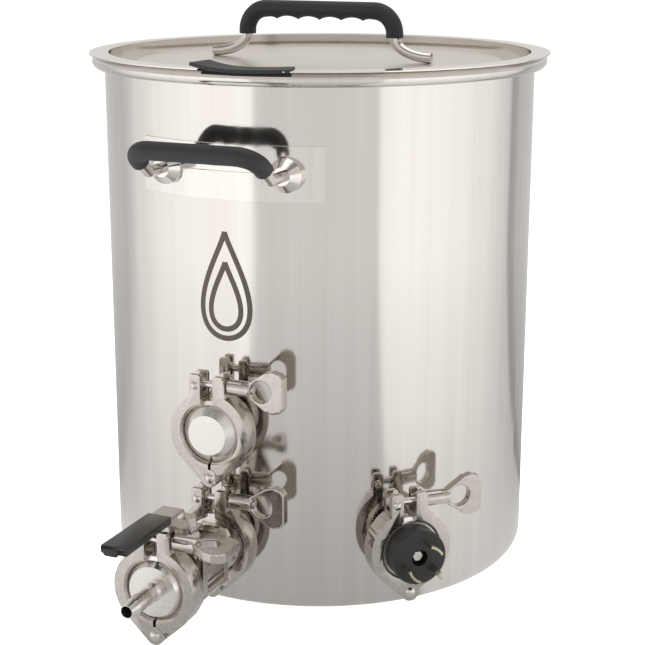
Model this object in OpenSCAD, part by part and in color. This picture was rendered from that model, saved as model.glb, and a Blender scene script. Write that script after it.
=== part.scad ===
// Brew kettle: polished steel pot with a lift-off lid, two side handles, a capped port,
// a drain port with a three-piece ball valve and hose barb, and an immersion heating element.
// Origin at the centre of the base, +Z up, the drain port faces -Y.

/* [Kettle] */
// Outside diameter of the wall
kettle_d = 355.6; // [300:0.1:430]
// Height from the floor to the top of the rolled rim
kettle_h = 424; // [340:1:520]
// Sheet thickness of the wall and base
wall_t = 1.2; // [1:0.1:2]
// Outside radius between wall and base
base_r = 13; // [8:0.5:20]
// Diameter of the rolled rim
rim_d = 11.3; // [8:0.1:14]
// Opening left in the curl of the rim
rim_gap = 1.6; // [1:0.1:2.5]

/* [Lid] */
// Sheet thickness of the lid
lid_t = 1; // [0.8:0.1:1.5]
// How far the lid flange reaches past the rolled rim
lid_over = 2.3; // [0.5:0.1:4]
// Depth of the lid's recess below its flange
lid_drop = 10.4; // [8:0.1:14]
// Gap between the recess and the kettle wall
lid_clear = 1; // [0.6:0.1:2]
// Width of the raised centre's step from the recess wall
lid_step_w = 24; // [15:1:40]
// Height of the raised centre
lid_step_h = 1.4; // [0.8:0.1:3]
// Width of the notch for hoses, along the rim
notch_w = 62; // [40:1:70]
// Reach of the notch inwards from the recess wall
notch_in = 9; // [6:0.5:12]
// Angle from the front to the notch
notch_az = 5.7; // [-10:0.1:10]

/* [Lid handle] */
// Distance from the lid's centre to each upright
lid_leg_x = 66.5; // [50:0.5:80]
// Height of the rod's centre above the lid flange
lid_bar_h = 32.6; // [28:0.1:45]
// Radius of the bends between the uprights and the top bar
lid_bend_r = 18; // [12:0.5:24]
// Radius of the bends between the uprights and the feet
lid_foot_r = 16.5; // [12:0.5:17]
// Length of each flat foot
lid_foot_l = 15.5; // [4:0.5:20]
// Diameter of the handle rods
rod_d = 8.6; // [7:0.1:10.5]
// Thickness of the rubber grips
grip_t = 2.8; // [2:0.1:4]
// Length of each grip's end that turns down the upright
grip_turn = 3; // [1:0.5:8]

/* [Side handles] */
// Distance from the rim down to the handle feet
side_drop = 75; // [50:1:110]
// Height of the backing plate
plate_h = 41.5; // [34:0.5:60]
// Length of the backing plate along the wall
plate_w = 155; // [130:1:170]
// Thickness of the backing plate
plate_t = 1.2; // [0.8:0.1:2]
// Distance from the middle to each foot
side_foot_x = 50; // [40:0.5:60]
// Straight reach of each foot out from the wall
side_reach = 22; // [16:0.5:30]
// Rise of the grip above the feet
side_rise = 20; // [10:0.5:26]
// Reach of the grip beyond the straight feet
side_out = 26; // [18:0.5:36]
// Radius of the bends at the grip's ends
bail_r = 15; // [11:0.5:20]
// Diameter of the domed foot washers
foot_d = 26; // [20:0.5:32]
// Height of the foot washers' domes
foot_dome = 4.5; // [3:0.1:6]

/* [Ports] */
// Height of the drain port
drain_h = 62; // [56:0.5:75]
// Space between the drain port's clamp and the capped port's
port_gap = 2.6; // [1.5:0.1:60]
// Height of the element port
element_h = 61.5; // [56:0.5:110]
// Angle from the drain port to the element port
element_az = 43.3; // [35:0.1:90]
// Distance from the wall to the sealing face of a port
ferrule_l = 23; // [20:0.5:32]
// Outside diameter of the port tube
tube_d = 38.1; // [30:0.1:48]
// Wall of the port tube
tube_t = 1.65; // [1.2:0.05:2.5]
// How far a port flange reaches beyond its tube
flange_w = 6.2; // [5.5:0.1:7.5]
// Thickness of a flange at its edge
flange_edge = 2.85; // [2.4:0.05:3.4]
// Slope of a flange's back
flange_slope = 20; // [15:1:24]
// Thickness of a flange gasket
gasket_t = 1.6; // [1:0.1:2.5]

/* [Clamps] */
// Thickness of a clamp ring around the flanges
ring_t = 7.25; // [6:0.05:10]
// Width of a clamp along the port
clamp_w = 16; // [15:0.5:20]
// How far the clamp's lips reach in over the flanges
lip_w = 2.25; // [1.8:0.05:2.8]
// Distance from the ring's outside to the hinge pin
hinge_out = 3; // [2:0.1:6]
// Space between the ring and the swing bolt
bolt_gap = 1.8; // [1:0.1:4]
// Distance from the clamp's middle to the swing bolt's pivot
pivot_x = 11.5; // [10:0.1:15]
// Width of each ear
ear_w = 9.8; // [8:0.1:12]
// Height of the ears above the swing bolt
ear_top = 8.6; // [7:0.1:11]
// Space between the clamp's middle and the fork ear
fork_x = 4; // [3:0.1:6]
// Diameter of the swing bolt
bolt_d = 6; // [5:0.1:7.4]
// Diameter of the hinge pin
hinge_d = 6; // [5:0.1:7]
// Diameter of the pivot rivet
rivet_d = 5; // [4:0.1:6]
// Play of the swing bolt in its slots
slot_play = 1; // [0.8:0.1:1.4]
// Clearance between the clamp's moving faces
move_clear = 0.3; // [0.2:0.05:0.6]

/* [Wing nuts] */
// Length of the round barrel
barrel_l = 17; // [14:0.5:22]
// Diameter of the barrel
barrel_d = 12; // [10.5:0.1:14]
// Wall between the barrel and the eye
eye_wall = 2.5; // [1.5:0.1:5]
// Diameter of the eye
eye_d = 17; // [14:0.5:21]
// Length of the wing beyond the eye
wing_end = 10; // [7:0.5:14]
// Height of the wing above and below the eye
wing_side = 8; // [6:0.5:12]
// Thickness of the wing
wing_t = 7.4; // [6:0.1:9]

/* [Valve] */
// Length of the valve between its sealing faces
valve_l = 87.3; // [80:0.1:105]
// Bore through the valve
valve_bore = 19; // [15:0.1:23]
// How much larger the ball is than its bore
ball_over = 11; // [9.5:0.1:13]
// Wall of the middle body around the ball
body_wall = 4.7; // [4:0.1:8]
// Space between the middle body and the body bolts
body_gap = 1.4; // [0.8:0.1:4]
// Reach of the square end plates beyond the bolts
end_edge = 5.9; // [5.8:0.1:9]
// Thickness of the end plates
end_t = 7; // [6:0.5:9]
// Diameter of the body bolts
body_bolt_d = 6; // [5:0.5:6.5]
// Diameter of the valve stem
stem_d = 9; // [7:0.1:10]
// Width of the lever strip
lever_w = 17; // [14:0.5:20]
// Thickness of the lever strip
lever_t = 2.5; // [2:0.1:3.5]
// Distance from the stem to the tip of the sleeve
lever_l = 108; // [100:1:130]
// Space between the outlet clamp's ears and the lever's grip end
lever_gap = 4.4; // [3.5:0.1:12]
// Length of the lever's vinyl sleeve
sleeve_l = 68; // [50:1:80]
// Wall of the lever's vinyl sleeve
sleeve_t = 1.6; // [1:0.1:1.8]

/* [Hose barb] */
// Length of the barb beyond its flange
barb_l = 36; // [28:0.5:50]
// Diameter over the barb's ridges
barb_d = 13.2; // [11:0.1:14]
// Bore of the barb
barb_bore = 8.8; // [7:0.1:9.5]

/* [Heating element] */
// Wall of the flange's cup around the insulating plug
cup_wall = 0.9; // [0.6:0.1:2]
// Distance from the sealing face to the plug's front
plug_l = 24; // [20:0.5:34]
// Length of the contact blades
blade_l = 14; // [10:0.5:18]
// Radius of the contact circle
blade_r = 13.2; // [12:0.1:14.5]
// Diameter of the heating tube
heat_d = 8; // [6.5:0.1:9.6]
// Metal left in the flange's hub outside the heating tube
heat_edge = 2.9; // [2:0.1:3.4]
// Length of the element inside the kettle
heat_l = 262; // [200:1:315]

/* [Hidden] */
$fn = 96;

steel = [0.78, 0.77, 0.75];
dark_steel = [0.6, 0.59, 0.58];
rubber = [0.09, 0.09, 0.1];
white_seal = [0.93, 0.93, 0.9];

kettle_r = kettle_d / 2;
inner_r = kettle_r - wall_t;
rim_r = inner_r + rim_d / 2;
rim_z = kettle_h - rim_d / 2;
side_h = kettle_h - side_drop;
grip_d = rod_d + 2 * grip_t;

lid_top = kettle_h + lid_t;
lid_r = inner_r + rim_d + lid_over;
recess_r = inner_r - lid_clear;
panel_z = lid_top - lid_drop;
notch_half = notch_w / 2 / kettle_r * 180 / PI;
plug_clear = 0.4;
flap_t = 2.6;
flap_side = 6;
panel_top = panel_z + lid_step_h;

seal_r = kettle_r + ferrule_l;
joint_r = seal_r + gasket_t / 2;
far_r = seal_r + gasket_t;
neck_r = tube_d / 2;
bore_r = neck_r - tube_t;
flange_r = neck_r + flange_w;
gasket_bore_r = bore_r + 0.2;
outlet_r = far_r + valve_l;
outlet_joint_r = outlet_r + gasket_t / 2;
stem_r = far_r + valve_l / 2;

ring_r = flange_r + ring_t;
lip_r = flange_r - lip_w;
hinge_y = ring_r + hinge_out;
bolt_y = ring_r + bolt_gap + bolt_d / 2;
slot_w = bolt_d + slot_play;
fork_outer = fork_x + ear_w;
nut_gap = 0.2;
nut_x = fork_outer + nut_gap;
swing_r = nut_x + pivot_x;
ear_y = bolt_y + ear_top;
ear_round = 2;
tail_r = hinge_d / 2 + 4;
tongue_w = clamp_w * 0.375;
eye_boss_r = rivet_d / 2 + 3.1;
run_fit = 0.06;
eye_x = barrel_l + eye_wall + eye_d / 2;
nut_l = eye_x + eye_d / 2 + wing_end;
wing_half = eye_d / 2 + wing_side;
bolt_end = nut_x + eye_x - eye_d / 2 + 1.2;
head_t = 2;
cap_h = drain_h + ear_y + port_gap + hinge_y + tail_r;

// Angle and height of each port.
PORTS = [[0, drain_h], [0, cap_h], [element_az, element_h]];

// The four clamps: name, angle, height, distance of the joint, turn of the wing nut.
CLAMPS = [["cap_clamp", 0, cap_h, joint_r, 0], ["drain_clamp", 0, drain_h, joint_r, 0],
    ["outlet_clamp", 0, drain_h, outlet_joint_r, 90],
    ["element_clamp", element_az, element_h, joint_r, 0]];

ball_d = valve_bore + ball_over;
ball_room = 0.8;
body_l = ball_d - 4;
body_d = ball_d + 2 * (ball_room + body_wall);
head_room = 1.45;
bolt_sq = (max(body_d / 2, neck_r + head_room) + body_gap + body_bolt_d / 2) / sqrt(2);
end_w = 2 * (bolt_sq + end_edge);
body_half = body_l / 2;
boss_top = body_d / 2 + 2.5;
packing_t = 5;
lever_y = boss_top + packing_t + 0.3;
nut_t = 7.5;
grip_y = ear_y + lever_gap;
lever_rise = grip_y - lever_y;
sleeve_h = lever_t + 2 * sleeve_t;
seat_gap = 0.05;

// Places its children on a port: local x runs right, y up and z straight out of the wall.
module on_port(az, h) {
    translate([0, 0, h]) rotate([90, 0, az]) children();
}

// A round bar of diameter d between two points.
module bar(a, b, d) {
    v = b - a;
    l = norm(v);
    translate(a) rotate([0, acos(v[2] / l), atan2(v[1], v[0])]) cylinder(d = d, h = l);
}

// An arc of bar in the local x-z plane: centre c, radius r, from angle a to angle a + sweep.
module bend(c, r, d, a, sweep) {
    translate(c) rotate([90, 0, 0]) rotate([0, 0, a])
        rotate_extrude(angle = sweep) translate([r, 0]) circle(d = d);
}

// A flat ring sector of the wall, half_angle either side of the front.
module sector(r1, r2, z1, z2, half_angle) {
    translate([0, 0, z1]) rotate([0, 0, -90 - half_angle])
        rotate_extrude(angle = 2 * half_angle) translate([r1, 0]) square([r2 - r1, z2 - z1]);
}

// Flat outline through two circles and their outer tangents.
module link(c1, r1, c2, r2) {
    v = c2 - c1;
    l = norm(v);
    a = atan2(v[1], v[0]);
    b = acos((r1 - r2) / l);
    translate(c1) circle(r = r1);
    translate(c2) circle(r = r2);
    polygon([c1 + r1 * [cos(a + b), sin(a + b)], c1 + r1 * [cos(a - b), sin(a - b)],
        c2 + r2 * [cos(a - b), sin(a - b)], c2 + r2 * [cos(a + b), sin(a + b)]]);
}

// ---- Kettle ----

module pot_profile(r, h, corner) {
    square([r - corner, h]);
    translate([0, corner]) square([r, h - corner]);
    translate([r - corner, corner]) circle(r = corner);
}

module kettle_shell() {
    color(steel) difference() {
        rotate_extrude() {
            difference() {
                pot_profile(kettle_r, rim_z, base_r);
                translate([0, wall_t])
                    pot_profile(inner_r, kettle_h, base_r - wall_t);
            }
            difference() {
                translate([rim_r, rim_z]) circle(d = rim_d);
                translate([rim_r, rim_z]) circle(d = rim_d - 2 * wall_t);
                translate([inner_r - 1, rim_z - rim_d]) square([wall_t + rim_gap + 1, rim_d]);
            }
        }
        for (p = PORTS) on_port(p[0], p[1]) cylinder(r = bore_r, h = kettle_r + 10);
    }
}

// Ferrule with its sealing face at z = 0 and its tube running to z = -tube_l.
module ferrule(tube_l) {
    slope_z = flange_edge + (flange_r - neck_r) * tan(flange_slope);
    rotate_extrude() polygon([[bore_r, 0], [flange_r, 0], [flange_r, -flange_edge],
        [neck_r, -slope_z], [neck_r, -tube_l], [bore_r, -tube_l]]);
}

module port_ferrules() {
    color(steel) difference() {
        for (p = PORTS) on_port(p[0], p[1]) translate([0, 0, seal_r]) ferrule(ferrule_l + 3);
        cylinder(r = kettle_r, h = kettle_h);
    }
}

// ---- Side handles ----

bail_a = atan2(side_rise, side_out);
bail_l = norm([side_out, side_rise]);
foot_out = kettle_r + plate_t;

module handle_plate() {
    rib_w = 62;
    rib_d = 9;
    rib_up = 4;
    sink = 0.3;
    difference() {
        union() {
            sector(kettle_r, foot_out, side_h - plate_h / 2, side_h + plate_h / 2,
                plate_w / 2 / kettle_r * 180 / PI);
            sector(foot_out - sink, foot_out + 1.3, side_h - rib_up - rib_d / 2,
                side_h - rib_up + rib_d / 2, rib_w / 2 / kettle_r * 180 / PI);
            difference() {
                for (s = [-1, 1]) translate([s * side_foot_x, -foot_face(), side_h])
                    rotate([90, 0, 0]) foot_washer();
                cylinder(r = foot_out - sink, h = kettle_h);
            }
        }
        for (s = [-1, 1]) translate([s * side_foot_x, -kettle_r / 2, side_h])
            rotate([90, 0, 0]) cylinder(d = rod_d, h = kettle_r / 2 + side_reach);
    }
}

// Distance from the kettle's axis plane to the wall at a foot.
function foot_face() = sqrt(pow(kettle_r, 2) - pow(side_foot_x + foot_d / 2, 2));

module foot_washer() {
    rise = foot_out - foot_face();
    cylinder(d = foot_d, h = rise - 2);
    translate([0, 0, rise - 2]) cylinder(d1 = foot_d, d2 = rod_d + 5, h = foot_dome + 2);
}

// The bent rod of one side handle, from foot to foot.
module handle_path(d) {
    reach = foot_out + side_reach;
    knuckle_d = d + 0.06;
    top = bail_l - bail_r;
    for (s = [-1, 1]) {
        bar([s * side_foot_x, -kettle_r + 4, side_h], [s * side_foot_x, -reach, side_h], d);
        translate([s * side_foot_x, -reach, side_h]) sphere(d = knuckle_d);
    }
    bail_plane() {
        for (s = [-1, 1]) {
            bar([s * side_foot_x, 0, 0], [s * side_foot_x, 0, top], d);
            bend([s * (side_foot_x - bail_r), 0, top], bail_r, d, s > 0 ? 0 : 90, 90);
        }
        bar([-side_foot_x + bail_r, 0, bail_l], [side_foot_x - bail_r, 0, bail_l], d);
    }
}

// Local frame of the sloping bail: x along the wall, z out and up.
module bail_plane() {
    translate([0, -(foot_out + side_reach), side_h]) rotate([90 - bail_a, 0, 0]) children();
}

module handle_rod() {
    difference() {
        handle_path(rod_d);
        cylinder(r = kettle_r, h = kettle_h);
    }
}

module handle_grip() {
    top = bail_l - bail_r;
    bail_plane() difference() {
        grip_solid(top, grip_d);
        grip_solid(top, rod_d);
    }
}

module grip_solid(top, d) {
    over = d > rod_d ? 0 : 1;
    for (s = [-1, 1]) {
        bar([s * side_foot_x, 0, top - grip_turn - over], [s * side_foot_x, 0, top], d);
        bend([s * (side_foot_x - bail_r), 0, top], bail_r, d, s > 0 ? 0 : 90, 90);
    }
    bar([-side_foot_x + bail_r, 0, bail_l], [side_foot_x - bail_r, 0, bail_l], d);
}

module front_handle_plate() { color(steel) handle_plate(); }
module front_handle_rod() { color(steel) handle_rod(); }
module front_handle_grip() { color(rubber) handle_grip(); }
module rear_handle_plate() { color(steel) rotate([0, 0, 180]) handle_plate(); }
module rear_handle_rod() { color(steel) rotate([0, 0, 180]) handle_rod(); }
module rear_handle_grip() { color(rubber) rotate([0, 0, 180]) handle_grip(); }

// ---- Lid ----

module notch_space(extra) {
    rotate([0, 0, notch_az])
        sector(recess_r - notch_in - extra, lid_r + 5, panel_z - 5, lid_top + 5,
            notch_half + extra / kettle_r * 180 / PI);
}

module lid_shell() {
    step_r = recess_r - lid_step_w;
    color(steel) difference() {
        rotate_extrude() {
            translate([recess_r - lid_t, kettle_h]) square([lid_r - recess_r + lid_t, lid_t]);
            translate([recess_r - lid_t, panel_z]) square([lid_t, lid_drop]);
            translate([step_r - lid_t, panel_z]) square([recess_r - step_r + lid_t, lid_t]);
            translate([step_r - lid_t, panel_z]) square([lid_t, lid_step_h + lid_t]);
            translate([0, panel_top]) square([step_r, lid_t]);
        }
        notch_space(0);
    }
}

lid_foot_x = lid_leg_x + lid_foot_r + lid_foot_l;
lid_bar_z = lid_top + lid_bar_h;
foot_z = panel_top + lid_t + rod_d / 2 - 1.2;
lid_leg_z = foot_z + lid_foot_r;

// The lid handle's bar: two feet that curve outwards, two uprights and a top bar.
module lid_bar(d, low) {
    for (s = [-1, 1]) {
        bend([s * (lid_leg_x - lid_bend_r), 0, lid_bar_z - lid_bend_r], lid_bend_r, d,
            s > 0 ? 0 : 90, 90);
        bar([s * lid_leg_x, 0, low], [s * lid_leg_x, 0, lid_bar_z - lid_bend_r], d);
    }
    bar([-lid_leg_x + lid_bend_r, 0, lid_bar_z], [lid_leg_x - lid_bend_r, 0, lid_bar_z], d);
}

module lid_handle_rod() {
    color(steel) difference() {
        union() {
            lid_bar(rod_d, lid_leg_z);
            for (s = [-1, 1]) {
                bend([s * (lid_leg_x + lid_foot_r), 0, lid_leg_z], lid_foot_r, rod_d,
                    s > 0 ? 180 : 270, 90);
                bar([s * (lid_leg_x + lid_foot_r), 0, foot_z], [s * lid_foot_x, 0, foot_z],
                    rod_d);
            }
        }
        translate([0, 0, panel_top + lid_t - 10]) cylinder(r = lid_foot_x + 10, h = 10);
    }
}

module lid_handle_grip() {
    low = lid_bar_z - lid_bend_r - grip_turn;
    color(rubber) difference() {
        lid_bar(grip_d, low);
        lid_bar(rod_d, low - 1);
    }
}

module notch_plug() {
    color(rubber) rotate([0, 0, notch_az]) {
        side = plug_clear / kettle_r * 180 / PI;
        flap = flap_side / kettle_r * 180 / PI;
        sector(recess_r - notch_in + plug_clear, recess_r, panel_z, lid_top + plug_clear,
            notch_half - side);
        sector(recess_r - 0.5, lid_r - 0.6, kettle_h + plug_clear, lid_top + plug_clear,
            notch_half - side);
        sector(recess_r - notch_in - 3, lid_r, lid_top + plug_clear,
            lid_top + plug_clear + flap_t, notch_half + flap);
    }
}

// ---- Seals and cap ----

module gasket() {
    difference() {
        cylinder(r = flange_r, h = gasket_t);
        translate([0, 0, -1]) cylinder(r = gasket_bore_r, h = gasket_t + 2);
    }
}

module flange_gaskets() {
    color(white_seal) {
        for (p = PORTS) on_port(p[0], p[1]) translate([0, 0, seal_r]) gasket();
        on_port(0, drain_h) translate([0, 0, outlet_r]) gasket();
    }
}

// Blind flange with its sealing face at z = 0 and a raised, chamfered disc of radius top_r.
module blind_flange(top_r, top_z) {
    shoulder_r = lip_r - 0.6;
    shoulder_z = flange_edge + (flange_r - shoulder_r) * tan(flange_slope);
    rotate_extrude() polygon([[0, 0], [flange_r, 0], [flange_r, flange_edge],
        [shoulder_r, shoulder_z], [top_r, top_z], [0, top_z]]);
}

module end_cap() {
    color(steel) on_port(0, cap_h) translate([0, 0, far_r]) blind_flange(15.5, 10.2);
}

// ---- Ball valve ----

plate_z = stem_r - body_half;

module square_plate(w, t, cut) {
    linear_extrude(t) difference() {
        square(w, center = true);
        for (a = [0:90:270]) rotate(a) translate([w / 2, w / 2]) rotate(45)
            square([cut * sqrt(2), w], center = true);
    }
}

// One end of the valve, from its sealing face at z = 0 to the middle body at z = l.
module valve_end(l) {
    slope_z = flange_edge + (flange_r - neck_r) * tan(flange_slope);
    cone_z = l - end_t;
    difference() {
        union() {
            rotate_extrude() polygon([[0, 0], [flange_r, 0], [flange_r, flange_edge],
                [neck_r, slope_z], [neck_r - 2, slope_z + 1], [neck_r - 4, cone_z - 4],
                [neck_r, cone_z], [0, cone_z]]);
            translate([0, 0, cone_z]) square_plate(end_w, end_t, 7);
        }
        translate([0, 0, -1]) cylinder(d = valve_bore, h = l + 2);
        translate([0, 0, -0.01]) cylinder(r1 = bore_r, r2 = valve_bore / 2, h = 12);
        for (x = [-1, 1], y = [-1, 1]) translate([x * bolt_sq, y * bolt_sq, -1])
            cylinder(d = body_bolt_d, h = l + 2);
    }
}

module valve_inlet_end() {
    color(steel) on_port(0, drain_h) translate([0, 0, far_r]) valve_end(valve_l / 2 - body_half);
}

module valve_outlet_end() {
    color(steel) on_port(0, drain_h) translate([0, 0, outlet_r]) mirror([0, 0, 1])
        valve_end(valve_l / 2 - body_half);
}

module valve_middle_body() {
    color(dark_steel) on_port(0, drain_h) translate([0, 0, stem_r]) difference() {
        union() {
            translate([0, 0, -body_half]) cylinder(d = body_d, h = body_l);
            rotate([-90, 0, 0]) cylinder(r = stem_d / 2 + 5.5, h = boss_top);
        }
        translate([0, 0, -body_half - 1]) cylinder(r = ball_d / 2 + ball_room, h = body_l + 2);
        rotate([-90, 0, 0]) cylinder(d = stem_d + 2 * run_fit, h = boss_top + 1);
        for (x = [-1, 1], y = [-1, 1]) translate([x * bolt_sq, y * bolt_sq, -body_half - 1])
            cylinder(d = body_bolt_d + 1, h = body_l + 2);
    }
}

module valve_ball() {
    slot_h = 4.2;
    color("silver") on_port(0, drain_h) translate([0, 0, stem_r]) difference() {
        sphere(d = ball_d);
        translate([0, 0, -ball_d]) cylinder(d = valve_bore, h = 2 * ball_d);
        translate([-ball_d, ball_d / 2 - slot_h, -2]) cube([2 * ball_d, slot_h + 1, 4]);
    }
}

module valve_seats() {
    color(white_seal) on_port(0, drain_h) translate([0, 0, stem_r]) difference() {
        for (s = [-1, 1]) translate([0, 0, s * (body_half - 2) - 2])
            difference() {
                cylinder(r = ball_d / 2 + ball_room - 0.1, h = 4);
                translate([0, 0, -1]) cylinder(d = valve_bore, h = 6);
            }
        sphere(d = ball_d + 2 * seat_gap);
    }
}

module valve_stem() {
    tang = 3.8;
    color(dark_steel) on_port(0, drain_h) translate([0, 0, stem_r]) rotate([-90, 0, 0]) {
        translate([0, 0, ball_d / 2 + 0.2])
            cylinder(d = stem_d, h = lever_y + lever_t - ball_d / 2 - 0.2);
        translate([0, 0, lever_y + lever_t]) cylinder(d = stem_d - 2, h = nut_t + 1);
        intersection() {
            translate([-stem_d / 2, -tang / 2, ball_d / 2 - 4])
                cube([stem_d, tang, 4.4]);
            translate([0, 0, ball_d / 2 - 5]) cylinder(d = stem_d, h = 6);
        }
    }
}

module stem_packing_nut() {
    color(steel) on_port(0, drain_h) translate([0, boss_top, stem_r]) rotate([-90, 0, 0])
        difference() {
            cylinder(d = 20, h = packing_t, $fn = 6);
            translate([0, 0, -1]) cylinder(d = stem_d + 2 * run_fit, h = packing_t + 2);
        }
}

module stem_nut() {
    color(steel) on_port(0, drain_h) translate([0, lever_y + lever_t, stem_r])
        rotate([-90, 0, 0]) difference() {
            cylinder(d = 15, h = nut_t, $fn = 6);
            translate([0, 0, -1]) cylinder(d = stem_d - 2, h = nut_t + 2);
        }
}

// Side view of the lever: flat root on the stem, a slope and a flat grip end.
module lever_outline() {
    root = 9;
    run = 12;
    polygon([[-root, 0], [root, 0], [root + run, lever_rise], [lever_l - 2, lever_rise],
        [lever_l - 2, lever_rise + lever_t], [root + run - 1.2, lever_rise + lever_t],
        [root - 1.2, lever_t], [-root, lever_t]]);
}

module valve_lever() {
    color(steel) on_port(0, drain_h) translate([0, lever_y, stem_r]) difference() {
        translate([-lever_w / 2, 0, 0]) rotate([0, -90, 0]) mirror([0, 0, 1])
            linear_extrude(lever_w) lever_outline();
        rotate([-90, 0, 0]) translate([0, 0, -1]) cylinder(d = stem_d, h = lever_t + 2);
    }
}

module lever_sleeve() {
    w = lever_w + 2 * sleeve_t;
    start = lever_l - sleeve_l;
    color(rubber) on_port(0, drain_h) translate([0, grip_y - sleeve_t, stem_r]) difference() {
        rotate([-90, 0, 0]) linear_extrude(sleeve_h) {
            translate([-w / 2, -lever_l + w * 0.3]) square([w, sleeve_l - w * 0.3]);
            translate([-w / 2 + w * 0.3, -lever_l]) square([w * 0.4, w]);
            for (s = [-1, 1]) translate([s * w * 0.2, -lever_l + w * 0.3]) circle(r = w * 0.3);
        }
        translate([-lever_w / 2, sleeve_t, start - 1])
            cube([lever_w, lever_t, sleeve_l - 1]);
    }
}

module body_bolts() {
    head = 5;
    color(steel) on_port(0, drain_h) for (x = [-1, 1], y = [-1, 1])
        translate([x * bolt_sq, y * bolt_sq, plate_z - end_t]) {
            translate([0, 0, -head]) cylinder(d = 11.4, h = head, $fn = 6);
            cylinder(d = body_bolt_d, h = body_l + 2 * end_t + 6.5);
        }
}

module body_nuts() {
    color(steel) on_port(0, drain_h) for (x = [-1, 1], y = [-1, 1])
        translate([x * bolt_sq, y * bolt_sq, stem_r + body_half + end_t]) difference() {
            cylinder(d = 11.4, h = 5, $fn = 6);
            translate([0, 0, -1]) cylinder(d = body_bolt_d, h = 7);
        }
}

barb_face = 8.6;
barb_root_r = barb_d / 2 - 0.9;

module on_outlet() {
    on_port(0, drain_h) translate([0, 0, outlet_r + gasket_t]) children();
}

module barb_flange() {
    color(steel) on_outlet() difference() {
        blind_flange(19, barb_face);
        translate([0, 0, -1]) cylinder(r = barb_root_r, h = barb_face + 2);
    }
}

module hose_barb() {
    pitch = barb_l / 4;
    tip = barb_face + barb_l;
    weld_h = 2;
    color(steel) on_outlet() difference() {
        union() {
            cylinder(r = barb_root_r, h = tip - pitch);
            translate([0, 0, barb_face])
                cylinder(r1 = barb_d / 2 + 0.8, r2 = barb_root_r, h = weld_h);
            for (i = [1:3]) translate([0, 0, tip - i * pitch])
                cylinder(r1 = barb_d / 2, r2 = barb_root_r - (i == 1 ? 0.8 : 0), h = pitch);
        }
        translate([0, 0, -1]) cylinder(d = barb_bore, h = tip + 2);
    }
}

// ---- Heating element ----

hub_in = ferrule_l + 6;
hub_r = bore_r - 0.6;
cup_r = lip_r - 0.4;
plug_d = 2 * (cup_r - cup_wall);
heat_gap = round(10 * sqrt(2) * (hub_r - heat_d / 2 - heat_edge)) / 10;

module element_flange() {
    color(steel) on_port(element_az, element_h) translate([0, 0, far_r]) difference() {
        union() {
            rotate_extrude() polygon([[0, 0], [flange_r, 0], [flange_r, flange_edge],
                [cup_r, flange_edge + (flange_r - cup_r) * tan(flange_slope)],
                [cup_r, 6.5], [0, 6.5]]);
            translate([0, 0, -hub_in]) cylinder(r = hub_r, h = hub_in + 0.1);
        }
        translate([0, 0, 4]) cylinder(d = plug_d, h = 10);
        for (s = [-1, 1]) translate([s * heat_gap / 2, -heat_gap / 2, -hub_in - 1])
            cylinder(d = heat_d, h = hub_in + 2.5);
        translate([0, 0, -6]) cylinder(d = 4, h = 12);
    }
}

// Heating tube: out along the lower runs, up and part of the way back, across and out again.
module heating_tube() {
    g = heat_gap / 2;
    start = far_r + 1;
    low_end = kettle_r - heat_l + 2 * heat_gap;
    back = kettle_r - 34;
    color(dark_steel) on_port(element_az, element_h) {
        for (s = [-1, 1]) {
            bar([s * g, -g, start], [s * g, -g, low_end], heat_d);
            bar([s * g, g, low_end], [s * g, g, back], heat_d);
            translate([s * g, 0, low_end]) rotate([0, 90, 0]) rotate([0, 0, -90])
                rotate_extrude(angle = 180) translate([g, 0]) circle(d = heat_d);
        }
        bend([0, g, back], g, heat_d, 0, 180);
    }
}

module plug_insulator() {
    recess_d = 13;
    color(rubber) on_port(element_az, element_h) translate([0, 0, far_r + 4]) difference() {
        union() {
            cylinder(d = plug_d, h = plug_l - 5);
            translate([0, 0, plug_l - 5]) cylinder(d1 = plug_d, d2 = plug_d - 1.6, h = 1);
        }
        translate([0, 0, plug_l - 12]) cylinder(d = recess_d, h = 20);
        translate([0, 0, -1]) cylinder(d = 4, h = plug_l);
        for (b = BLADES) rotate(b[0] - b[1] / 2) translate([0, 0, plug_l - 14])
            blade(b[1], blade_l);
    }
}

// Contact blades: middle angle and spread of each.
BLADES = [[52, 48], [222, 56], [320, 20]];
blade_t = 1.8;

module blade(spread, l) {
    rotate_extrude(angle = spread) translate([blade_r, 0]) square([blade_t, 10 + l]);
}

module contact_blades() {
    color("gold") on_port(element_az, element_h) translate([0, 0, far_r + plug_l - 10]) {
        for (b = BLADES) rotate(b[0] - b[1] / 2) blade(b[1], blade_l);
        rotate(BLADES[2][0] - BLADES[2][1] / 2) translate([blade_r, 0, 10 + blade_l - 8])
            cube([5, blade_t, 8]);
    }
}

module plug_nut() {
    color("silver") on_port(element_az, element_h) translate([0, 0, far_r - 2]) {
        cylinder(d = 4, h = plug_l - 2);
        translate([0, 0, plug_l - 6]) cylinder(d = 8, h = 4, $fn = 6);
    }
}

// ---- Clamps: each local frame has the sealed joint at z = 0 ----

module groove() {
    edge_r = flange_r + move_clear;
    half = gasket_t / 2 + flange_edge + 0.12;
    inner = half + (edge_r - lip_r + 1) * tan(flange_slope);
    cylinder(r = lip_r, h = clamp_w + 2, center = true);
    rotate_extrude() polygon([[lip_r - 1, -inner], [edge_r, -half], [edge_r, half],
        [lip_r - 1, inner]]);
    for (s = [-1, 1]) scale_side(s) translate([0, 0, clamp_w / 2 - 1.6])
        cylinder(r1 = lip_r - 0.1, r2 = lip_r + 1.7, h = 1.7);
}

module scale_side(s) {
    if (s > 0) children(); else mirror([0, 0, 1]) children();
}

module plate(w) {
    linear_extrude(w, center = true) children();
}

module ear_slot(x, y) {
    translate([x, y, -slot_w / 2]) cube([ear_w + 4, 30, slot_w]);
}

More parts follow.
